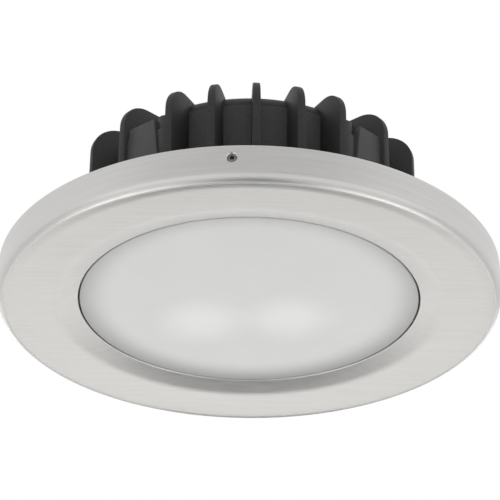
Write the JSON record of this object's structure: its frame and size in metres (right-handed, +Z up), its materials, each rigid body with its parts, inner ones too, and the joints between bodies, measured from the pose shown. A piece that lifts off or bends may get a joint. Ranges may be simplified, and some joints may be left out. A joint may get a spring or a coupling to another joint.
{
  "type": "soffit downlight",
  "caption": "Round recessed soffit light: brushed stainless cover ring over an opal diffuser, with a black finned heat sink behind it.",
  "frame": {"origin": "centre of the soffit plane, where the gasket and the cover ring's back rim meet the soffit", "axes": "+Z up into the soffit, the light leaves towards -Z, -Y is the side of the front grub screw"},
  "size_m": [0.15, 0.15, 0.065],
  "materials": {
    "brushed_stainless": "straight brushed face, turned side band",
    "screw_steel": "plain machined stainless",
    "blackened_steel": "black oxide on machined steel",
    "black_casting": "satin black powder coat on cast aluminium",
    "ring_casting": "bare die-cast aluminium",
    "opal_plastic": "satin opal polycarbonate",
    "black_plastic": "moulded black polyamide",
    "white_plastic": "moulded white reflector plastic",
    "seal_rubber": "moulded EPDM or silicone seal",
    "thermal_pad": "soft grey thermal sheet",
    "led_board": "white solder mask on an aluminium core",
    "led_phosphor": "yellow phosphor in a white package",
    "circuit_board": "green solder mask",
    "component_blue": "sleeved capacitor can",
    "copper_winding": "enamelled winding on a ferrite ring",
    "lead_red": "red lead insulation",
    "lead_black": "black lead insulation"
  },
  "bodies": {
    "lamp_body": {"mounting_ring": "ring_casting", "soffit_gasket": "seal_rubber", "body_seal": "seal_rubber", "body_screws": "screw_steel", "diffuser": "opal_plastic", "diffuser_gasket": "seal_rubber", "retaining_ring": "black_plastic", "retaining_screws": "screw_steel", "heat_sink": "black_casting", "cooling_fins": "black_casting", "thermal_pad": "thermal_pad", "led_board": "led_board", "led_packages": "led_phosphor", "led_connector": "white_plastic", "led_board_screws": "screw_steel", "reflector": "white_plastic", "lead_grommet": "seal_rubber", "positive_lead": "lead_red", "negative_lead": "lead_black", "driver_board": "circuit_board", "driver_output_terminal": "white_plastic", "driver_supply_terminal": "circuit_board", "driver_choke": "copper_winding", "driver_capacitors": "component_blue", "driver_chips": "black_plastic", "driver_screws": "screw_steel", "rear_cover": "black_casting", "rear_gasket": "seal_rubber", "rear_cover_screws": "screw_steel", "gland_sealing_ring": "seal_rubber", "gland_body": "black_plastic", "gland_seal": "seal_rubber", "gland_cap": "black_plastic", "gland_locknut": "ring_casting"},
    "cover": {"trim_cover": "brushed_stainless", "weld_nuts": "screw_steel"},
    "grub_front": {"grub_screw_front": "blackened_steel"},
    "grub_right": {"grub_screw_right": "blackened_steel"},
    "grub_left": {"grub_screw_left": "blackened_steel"}
  },
  "joints": [
    {"name": "cover_slide", "type": "slide", "parent": "lamp_body", "child": "cover", "axis": [0, 0, -1], "range_m": [0, 0.03]},
    {"name": "grub_front_travel", "type": "slide", "parent": "cover", "child": "grub_front", "axis": [-0.0993, -0.9951, 0], "range_m": [0, 0.0025]},
    {"name": "grub_right_travel", "type": "slide", "parent": "cover", "child": "grub_right", "axis": [0.9114, 0.4115, 0], "range_m": [0, 0.0025]},
    {"name": "grub_left_travel", "type": "slide", "parent": "cover", "child": "grub_left", "axis": [-0.8121, 0.5835, 0], "range_m": [0, 0.0025]}
  ]
}
